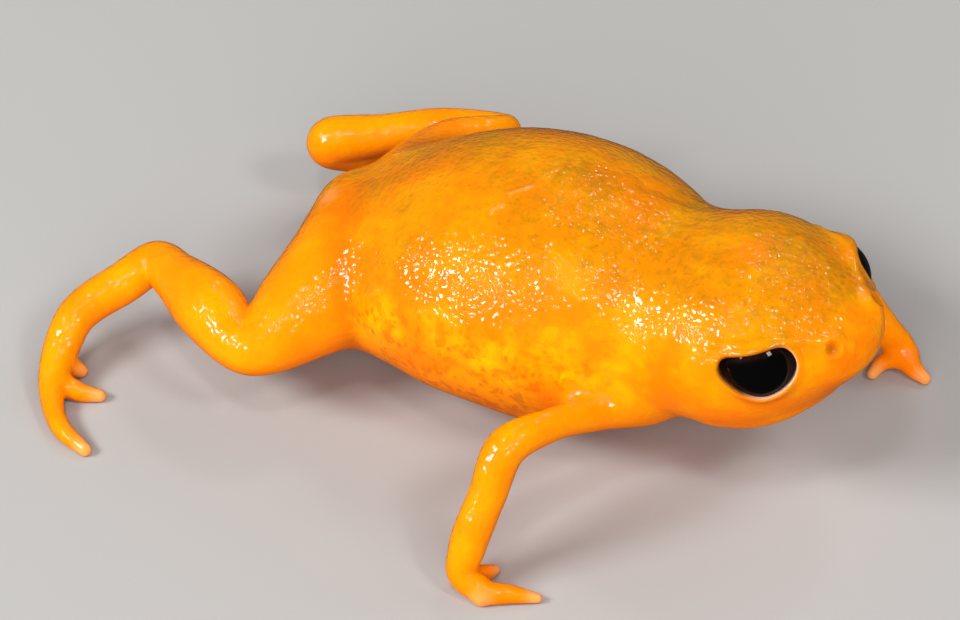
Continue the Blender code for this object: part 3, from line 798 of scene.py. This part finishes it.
def mark_skin(mesh):
    """Marks where the skin's colours and its relief change.

    The deep mark covers the belly, where it is partly the belly's own deeper tone and partly
    painted shade, and in part the cheeks and the hands, where it is painted shade.
    """
    places, normals = places_of(mesh), normals_of(mesh)
    core, limbs = core_distance(places), limbs_distance(places)
    limb = ramp(core - limbs, *TRUNK_TO_LIMB)
    up = normals[:, 2]
    head = to_head(places)
    forward = head[:, 0] - MOUTH_CORNER
    height = head[:, 2] - MOUTH_HEIGHT - MOUTH_RISE * forward
    mouth = ramp(forward, *MOUTH_START) * np.exp(-(height / (0.5 * MOUTH_WIDTH)) ** 2)
    lid_highlight, shade, bare, ridge = (np.zeros(len(places)) for _ in range(4))
    for side in (head, mirrored(head)):
        flat, outward = across_eye(side)
        opening = opening_distance(side)[0]
        from_ball = np.abs(np.linalg.norm(side - EYE, axis=1) - EYE_RADIUS)
        close = (from_ball < 3.0 * LID_RADIUS) & (outward > 0.0)
        # The silver line along the lower front edge of the lids is a painted highlight, and the
        # shade along the rest of the edge is painted shade.
        edge = np.exp(-(opening / LID_LINE) ** 2) * close
        low = ramp(flat @ unit(LID_SHINE_FACES), *LID_SHINE_START)
        lid_highlight = np.maximum(lid_highlight, edge * low)
        shade = np.maximum(shade, np.exp(-(opening / LID_SHADE) ** 2) * close * (1.0 - low))
        bare = np.maximum(bare, (1.0 - ramp(opening, *LID_BARE)) * close)
        pit = np.linalg.norm(side - NOSTRIL, axis=1)
        # Painted shade in the nostril's pit.
        shade = np.maximum(shade, NOSTRIL_SHADE * np.exp(-(pit / NOSTRIL_DIMPLE) ** 2))
        canthus = course_distance(side, CANTHUS.course)
        ridge = np.maximum(ridge, np.exp(-(canthus / (1.5 * CANTHUS.width)) ** 2))
    mark(mesh, "limb", limb)
    steep = 1.0 - ramp(up, *SIDE_TO_BACK)
    snout = ramp(head[:, 0], *SNOUT_TIP)
    mark(mesh, "back", (1.0 - steep) * (1.0 - limb) * (1.0 - SNOUT_BARENESS * snout))
    mark(mesh, "flank", steep * (1.0 - limb) * (1.0 - ramp(places[:, 0], *FLANK_END)))
    # Painted shade on the sides of the head and on the hand, joined with the belly's deeper tone,
    # which is partly painted shade too.
    cheek = CHEEK_SHADE * ramp(head[:, 0], *CHEEK_START) * steep
    low_front = ramp(places[:, 0], *HAND_START) * (1.0 - ramp(places[:, 2], *HAND_TOP))
    hand = HAND_SHADE * limb * low_front
    mark(mesh, "deep_and_shade", np.maximum(ramp(-up, *SIDE_TO_BELLY), np.maximum(cheek, hand)))
    # A painted highlight along each ridge on the back, joined with the pale tips.
    away = np.min([course_distance(places, back_ridge.course) for back_ridge in BACK_RIDGES], axis=0)
    back_ridge = np.exp(-(away / RIDGE_HIGHLIGHT_WIDTH) ** 2)
    mark(mesh, "tip", np.maximum(tip_share(places), back_ridge))
    mark(mesh, "lid_highlight", lid_highlight)
    mark(mesh, "shade", shade)
    # Painted shade in the fold between thigh and flank and along the mouth.
    mark(mesh, "crease", np.maximum(seam_shade(core - limbs, places), MOUTH_SHADE * mouth))
    mark(mesh, "relief", (1.0 - limb) * ramp(up, *LUMPS_START) * (1.0 - bare))
    below = 1.0 - ramp(up, *GRAINS_START)
    mark(mesh, "smooth", np.maximum(np.maximum(bare, below), ridge))


def relief_tree():
    """Geometry Nodes that raise soft lumps and small glands from the skin."""
    build, given, made = geometry_tree("relief", (
        ("Skin", "Geometry"), ("Lump Size", "Float"), ("Lump Height", "Float"),
        ("Gland Size", "Float"), ("Gland Height", "Float"), ("Seed", "Float"),
        ("Finish", "Material")))
    place = build.node("GeometryNodeInputPosition").outputs[0]
    normal = build.node("GeometryNodeInputNormal").outputs[0]
    strength = build.node("GeometryNodeInputNamedAttribute", data_type="FLOAT", Name="relief")
    lumps = build.node("ShaderNodeTexNoise", noise_dimensions="4D", Vector=place, W=given["Seed"],
                       Scale=build.maths("DIVIDE", 1.0, given["Lump Size"]), Detail=1.0)
    glands = build.node("ShaderNodeTexVoronoi", voronoi_dimensions="4D", feature="SMOOTH_F1",
                        Vector=place, W=given["Seed"], Smoothness=0.6,
                        Scale=build.maths("DIVIDE", 1.0, given["Gland Size"]))
    lump = build.maths("SUBTRACT", lumps.outputs[0], 0.5)
    gland = build.maths("SUBTRACT", 0.4, glands.outputs["Distance"])
    rise = build.maths("MULTIPLY_ADD", gland, given["Gland Height"],
                       build.maths("MULTIPLY", lump, given["Lump Height"]))
    rise = build.maths("MULTIPLY", rise, strength.outputs[0])
    offset = build.node("ShaderNodeVectorMath", normal, operation="SCALE", Scale=rise).outputs[0]
    moved = build.node("GeometryNodeSetPosition", Geometry=given["Skin"], Offset=offset)
    finish_tree(build, moved.outputs[0], given["Finish"], made)
    return build.tree


def ranged(build, value, low, high, low_out=0.0, high_out=1.0):
    """Maps a value's range to another, smoothly and without passing its ends."""
    return build.node("ShaderNodeMapRange", value, low, high, low_out, high_out,
                      interpolation_type="SMOOTHSTEP").outputs[0]


def mixed(build, share, under, over):
    """One colour over another."""
    node = build.node("ShaderNodeMix", data_type="RGBA")
    build.feed(node.inputs[0], share)
    build.feed(node.inputs[6], under)
    build.feed(node.inputs[7], over)
    return node.outputs[2]


def marked(build, name):
    return build.node("ShaderNodeAttribute", attribute_name=name).outputs["Fac"]


def noise(build, place, scale, detail=2.0, roughness=0.5):
    return build.node("ShaderNodeTexNoise", Vector=place, Scale=scale, Detail=detail,
                      Roughness=roughness).outputs[0]


def new_finish(name):
    """A material with its tree and its place in millimetres."""
    finish = bpy.data.materials.new(name)
    finish.use_nodes = True
    build = Tree(finish.node_tree)
    shader = finish.node_tree.nodes["Principled BSDF"]
    coordinates = build.node("ShaderNodeTexCoord").outputs["Object"]
    place = build.node("ShaderNodeMapping", coordinates, Scale=(1.0 / MM,) * 3).outputs[0]
    return finish, build, shader, place


# Colours of the skin and the eyes, as light reflects from them.
YELLOW = (1.0, 0.41, 0.0, 1.0)
ORANGE = (0.98, 0.23, 0.0, 1.0)
# Used for the belly's own deeper tone and for painted shade.
DEEP_ORANGE = (0.90, 0.16, 0.0, 1.0)
# Partly the back's own tone and partly painted shade.
BACK_TONE_AND_SHADE = (0.70, 0.22, 0.0, 1.0)
LIMB_TONE = (1.0, 0.27, 0.0, 1.0)
OLIVE = (0.38, 0.165, 0.001, 1.0)
SPOT_BROWN = (0.30, 0.09, 0.001, 1.0)
RUST = (0.60, 0.12, 0.0, 1.0)
# Painted shade in creases.
CREASE_SHADE = (0.50, 0.06, 0.0, 1.0)
# Painted shade by the lids and in the nostrils.
LID_SHADE_BROWN = (0.10, 0.02, 0.002, 1.0)
# Pale digit tips, also used for painted highlights along the back's ridges.
PALE_TIP_AND_HIGHLIGHT = (0.90, 0.50, 0.20, 1.0)
# A painted highlight on the rim of the lids.
LID_HIGHLIGHT = (0.62, 0.50, 0.48, 1.0)
EYE_BLACK = (0.001, 0.001, 0.001, 1.0)
EYE_BROWN = (0.022, 0.007, 0.005, 1.0)
FLOOR_GREY = (0.40, 0.392, 0.38, 1.0)

# How far each tint covers the colour under it where its mark is full.
LIMB_COVER = 0.65
DEEP_AND_SHADE_COVER = 0.8
BACK_TONE_AND_SHADE_COVER = 0.50
OLIVE_COVER = 0.72
SPOTS_COVER = 0.38
FRECKLES_COVER = 0.8
HOLLOW_SHADE_COVER = 0.10
PALE_TIP_AND_HIGHLIGHT_COVER = 0.45
CREASE_SHADE_COVER = 0.6
SHADE_COVER = 0.85
LID_HIGHLIGHT_COVER = 0.7

# How many of each marking or grain lie along a millimetre of skin.
PATCHES_PER_MM = 0.9
CLOUDS_PER_MM = 0.55
FUZZ_PER_MM = 4.5
SPECKS_PER_MM = 11.0
DARK_SPOTS_PER_MM = 3.6
BLOTS_PER_MM = 3.4
ROUND_SPOTS_PER_MM = 4.2
GRAINS_PER_MM = 7.6
WRINKLES_PER_MM = 2.0

# Height of the finest relief, in metres. The film of water over the skin shows
# more of it than the skin beneath, and less of it on the limbs.
FINE_RELIEF = 0.00009
SKIN_RELIEF = 0.09
FILM_RELIEF = 0.42
LIMB_FILM_RELIEF = 0.30


def share_of(build, *values):
    """All the values multiplied together."""
    result = values[0]
    for value in values[1:]:
        result = build.maths("MULTIPLY", result, value)
    return result


def cells(build, place, scale, **settings):
    """Cells strewn over the surface: distance from their middles, and a number for each."""
    node = build.node("ShaderNodeTexVoronoi", Vector=place, Scale=scale, **settings)
    number = build.node("ShaderNodeSeparateColor", node.outputs["Color"]).outputs[0]
    return node.outputs["Distance"], number


def strewn_spots(build, place, scale, radius, how_many):
    """Soft round spots, one in each of a share of the cells."""
    away, number = cells(build, place, scale)
    spot = ranged(build, away, 0.15 * radius, radius, 1.0, 0.0)
    return share_of(build, spot, build.maths("LESS_THAN", number, how_many))


def skin_colour(build, place, wavy, grains):
    """Yellow-orange, even on the limbs and deeper below, mottled above and freckled."""
    limb, back, flank, deep_and_shade, tip, lid_highlight, shade, crease = (marked(build, name) for name in (
        "limb", "back", "flank", "deep_and_shade", "tip", "lid_highlight", "shade", "crease"))
    patches = ranged(build, noise(build, place, PATCHES_PER_MM, 4.0, 0.6), 0.38, 0.64)
    colour = mixed(build, patches, ORANGE, YELLOW)
    colour = mixed(build, share_of(build, limb, LIMB_COVER), colour, LIMB_TONE)
    # Deeper orange below, partly the belly's own tone and partly painted shade, and painted shade
    # on the cheeks and the hand.
    colour = mixed(build, share_of(build, deep_and_shade, DEEP_AND_SHADE_COVER), colour, DEEP_ORANGE)
    # Darker orange on the skin facing up, partly the back's own tone and partly painted shade.
    colour = mixed(build, share_of(build, back, BACK_TONE_AND_SHADE_COVER), colour, BACK_TONE_AND_SHADE)

    clouds = ranged(build, noise(build, place, CLOUDS_PER_MM, 3.0), 0.36, 0.60, 0.25, 1.0)
    fuzz = ranged(build, noise(build, place, FUZZ_PER_MM, 3.0, 0.65), 0.32, 0.70, 0.35, 1.0)
    colour = mixed(build, share_of(build, clouds, fuzz, back, OLIVE_COVER), colour, OLIVE)
    specks = ranged(build, noise(build, place, SPECKS_PER_MM, 2.0, 0.6), 0.52, 0.72)
    dark_spots = strewn_spots(build, wavy, DARK_SPOTS_PER_MM, 0.2, 0.5)
    dots = build.maths("MAXIMUM", share_of(build, specks, clouds), dark_spots)
    colour = mixed(build, share_of(build, dots, back, SPOTS_COVER), colour, SPOT_BROWN)

    blots = ranged(build, noise(build, wavy, BLOTS_PER_MM, 3.0, 0.6), 0.47, 0.64)
    round_spots = strewn_spots(build, wavy, ROUND_SPOTS_PER_MM, 0.45, 0.7)
    freckles = build.maths("MAXIMUM", round_spots, share_of(build, blots, 0.8))
    colour = mixed(build, share_of(build, freckles, flank, FRECKLES_COVER), colour, RUST)

    # Painted shade: deeper orange in the low places between the grains.
    shaded_hollows = ranged(build, grains, 0.35, 0.65)
    colour = mixed(build, share_of(build, shaded_hollows, HOLLOW_SHADE_COVER), colour, DEEP_ORANGE)
    # Pale digit tips and pale spot, and painted highlights along the ridges on the back.
    colour = mixed(build, share_of(build, tip, PALE_TIP_AND_HIGHLIGHT_COVER), colour, PALE_TIP_AND_HIGHLIGHT)
    # Painted shade in the thigh's fold and the mouth's groove.
    colour = mixed(build, share_of(build, crease, CREASE_SHADE_COVER), colour, CREASE_SHADE)
    # Painted shade round the upper and rear edges of the lids and in the nostrils.
    colour = mixed(build, share_of(build, shade, SHADE_COVER), colour, LID_SHADE_BROWN)
    # Painted highlight along the lower front edges of the lids.
    return mixed(build, share_of(build, lid_highlight, LID_HIGHLIGHT_COVER), colour, LID_HIGHLIGHT)


# Ring-shaped wrinkles on the right flank: their middle, how closely they lie,
# how high they are, and the distances between which they fade out.
WHORL = (0.70, -1.95, 4.17)
WHORL_TURNS = 33.0
WHORL_HEIGHT = 0.36
WHORL_FADE = (0.25, 0.95)


def skin_finish():
    """Wet, finely granular orange skin. Its film of water glints on each grain."""
    finish, build, shader, place = new_finish("toadlet_skin")
    waves = build.node("ShaderNodeTexNoise", Vector=place, Scale=1.1, Detail=1.0).outputs["Color"]
    shift = build.vector("SUBTRACT", waves, (0.5, 0.5, 0.5))
    shift = build.node("ShaderNodeVectorMath", shift, operation="SCALE", Scale=0.4).outputs[0]
    wavy = build.vector("ADD", place, shift)
    grains, _ = cells(build, wavy, GRAINS_PER_MM, feature="SMOOTH_F1", Smoothness=0.4)
    build.feed(shader.inputs["Base Color"], skin_colour(build, place, wavy, grains))

    flattened = build.maths("MULTIPLY_ADD", marked(build, "smooth"), 0.8, -1.0)
    pimples = share_of(build, grains, flattened)
    wrinkles = noise(build, wavy, WRINKLES_PER_MM, 3.0, 0.55)
    away = build.node("ShaderNodeVectorMath", wavy, WHORL, operation="DISTANCE").outputs["Value"]
    rings = build.maths("SINE", build.maths("MULTIPLY", away, WHORL_TURNS))
    rings = share_of(build, rings, ranged(build, away, *WHORL_FADE, 1.0, 0.0), WHORL_HEIGHT)
    height = build.maths("ADD", build.maths("MULTIPLY_ADD", wrinkles, 1.5, pimples), rings)
    film = ranged(build, marked(build, "limb"), 0.0, 1.0, FILM_RELIEF, LIMB_FILM_RELIEF)
    for socket, strength in (("Normal", SKIN_RELIEF), ("Coat Normal", film)):
        bump = build.node("ShaderNodeBump", Strength=strength, Distance=FINE_RELIEF, Height=height)
        build.feed(shader.inputs[socket], bump.outputs[0])
    dull = ranged(build, noise(build, place, 6.0), 0.3, 0.7, 0.42, 0.58)
    build.feed(shader.inputs["Roughness"], dull)
    wet = ranged(build, marked(build, "deep_and_shade"), 0.0, 1.0, 1.0, 0.45)
    build.feed(shader.inputs["Coat Weight"], wet)
    shader.inputs["Specular IOR Level"].default_value = 0.02
    shader.inputs["Coat Roughness"].default_value = 0.06
    shader.inputs["Coat IOR"].default_value = 1.40
    shader.inputs["Subsurface Weight"].default_value = 0.2
    shader.inputs["Subsurface Radius"].default_value = (1.0, 0.35, 0.05)
    shader.inputs["Subsurface Scale"].default_value = 0.00025
    return finish


def eye_finish():
    """A black eye, dark brown towards the lids, under a clear wet cornea."""
    finish, build, shader, place = new_finish("toadlet_eye")
    flecks = ranged(build, noise(build, place, 5.0, 3.0), 0.35, 0.75, 0.4, 1.0)
    colour = mixed(build, share_of(build, marked(build, "edge"), flecks), EYE_BLACK, EYE_BROWN)
    build.feed(shader.inputs["Base Color"], colour)
    shader.inputs["Roughness"].default_value = 0.04
    shader.inputs["IOR"].default_value = 1.30
    return finish


def smooth_piece(name, mesh, nodes):
    """Puts a finished mesh in the scene in metres, in place of CAD nodes."""
    mesh.name = name
    mesh.vertices.foreach_set("co", (places_of(mesh) * MM).ravel())
    mesh.update()
    mesh.shade_smooth()
    piece = placed(name, mesh)
    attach(piece, "root")
    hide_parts(*nodes)


def make_skin(tree):
    low = np.array(solids_box[0]) / MM - MARGIN
    high = np.array(solids_box[1]) / MM + MARGIN
    finish = skin_finish()
    mesh = mould("skin", skin_distance, low, high, SKIN_GRAIN, finish, tree)
    keep_largest(mesh)
    refined(mesh, skin_distance, near_details)
    mark_skin(mesh)
    source = placed("skin", mesh)
    use_tree(source, relief_tree(), {
        "Lump Size": 1.1, "Lump Height": 0.05, "Gland Size": 0.30, "Gland Height": 0.012,
        "Seed": 4.0, "Finish": finish})
    smooth_piece("skin", evaluated_mesh(source), FLESH)


def make_eye(side, finish, tree):
    """One eye, in place of the CAD's."""
    turned = mirrored if side == "left" else np.array
    centre = from_head(turned(EYE[None])[0])
    reach = EYE_RADIUS + MARGIN / 2
    mesh = mould(side + "_eye", lambda points: eye_distance(turned(to_head(points))),
                 centre - reach, centre + reach, EYE_GRAIN, finish, tree)
    opening = opening_distance(turned(to_head(places_of(mesh))))[0]
    mark(mesh, "edge", ramp(opening, -EYE_EDGE, 0.0))
    smooth_piece("eye_" + side, mesh, [side + "_eye"])


# From the middle of the floor to its edge, in metres.
FLOOR_REACH = 1.5


def floor_finish():
    finish, _, shader, _ = new_finish("pale_floor")
    shader.inputs["Base Color"].default_value = FLOOR_GREY
    shader.inputs["Roughness"].default_value = 0.75
    return finish


def make_floor():
    """A plain pale floor. The skin doesn't mirror it, because the real ground is dark."""
    work = bmesh.new()
    bmesh.ops.create_grid(work, x_segments=1, y_segments=1, size=FLOOR_REACH)
    mesh = bpy.data.meshes.new("floor")
    work.to_mesh(mesh)
    work.free()
    mesh.materials.append(floor_finish())
    floor = placed("floor", mesh)
    floor.visible_glossy = False


def direction(azimuth, elevation):
    """Points towards a viewer at these angles; azimuth 0 looks along +Y."""
    turn, rise = radians(azimuth), radians(elevation)
    return Vector((sin(turn) * cos(rise), -cos(turn) * cos(rise), sin(rise)))


# A lamp stands in a direction from the animal, at a distance. Its width and
# height are in millimetres too. One without glints isn't seen in reflections.
Lamp = namedtuple("Lamp", "name azimuth elevation distance width height power glints")
LAMPS = (
    Lamp("key_light", -45.0, 38.0, 150.0, 60.0, 36.0, 0.20, True),
    Lamp("top_light", 5.0, 68.0, 150.0, 20.0, 20.0, 0.035, True),
    Lamp("side_light", 76.0, 50.0, 160.0, 30.0, 30.0, 0.06, True),
    Lamp("back_light", 180.0, 51.0, 170.0, 20.0, 20.0, 0.022, True),
    Lamp("far_fill_light", 150.0, 35.0, 200.0, 160.0, 160.0, 0.14, False),
    Lamp("fill_light", 20.0, 24.0, 240.0, 200.0, 200.0, 0.50, False),
)
WORLD_COLOUR = (0.95, 0.97, 1.0, 1.0)
WORLD_STRENGTH = 0.06


def light_box(lamp):
    """A rectangular lamp that faces the animal."""
    light = bpy.data.lights.new(lamp.name, "AREA")
    light.shape = "RECTANGLE"
    light.size, light.size_y = lamp.width * MM, lamp.height * MM
    light.energy = lamp.power
    box = bpy.data.objects.new(lamp.name, light)
    box.visible_glossy = lamp.glints
    towards = direction(lamp.azimuth, lamp.elevation)
    box.location = (Vector(VIEW_TARGET) + towards * lamp.distance) * MM
    box.rotation_euler = towards.to_track_quat("Z", "Y").to_euler()
    bpy.context.scene.collection.objects.link(box)


def light_the_animal():
    for lamp in LAMPS:
        light_box(lamp)
    world = bpy.data.worlds.new("studio")
    world.use_nodes = True
    sky = world.node_tree.nodes["Background"].inputs
    sky["Color"].default_value = WORLD_COLOUR
    sky["Strength"].default_value = WORLD_STRENGTH
    bpy.context.scene.world = world
    bpy.context.scene.view_settings.view_transform = "Standard"


def place_camera():
    lens = bpy.data.cameras.new("camera")
    lens.sensor_width = SENSOR_WIDTH
    lens.lens = SENSOR_WIDTH * VIEW_DISTANCE * PIXELS_PER_MM / PICTURE_WIDTH
    lens.clip_start = 10.0 * MM
    lens.clip_end = 10.0
    camera = bpy.data.objects.new("camera", lens)
    back = direction(VIEW_AZIMUTH, VIEW_ELEVATION)
    camera.location = (Vector(VIEW_TARGET) + back * VIEW_DISTANCE) * MM
    camera.rotation_euler = back.to_track_quat("Z", "Y").to_euler()
    bpy.context.scene.collection.objects.link(camera)
    bpy.context.scene.camera = camera


def main():
    tree = moulding_tree()
    make_skin(tree)
    black = eye_finish()
    make_eye("right", black, tree)
    make_eye("left", black, tree)
    make_floor()
    light_the_animal()
    place_camera()


main()
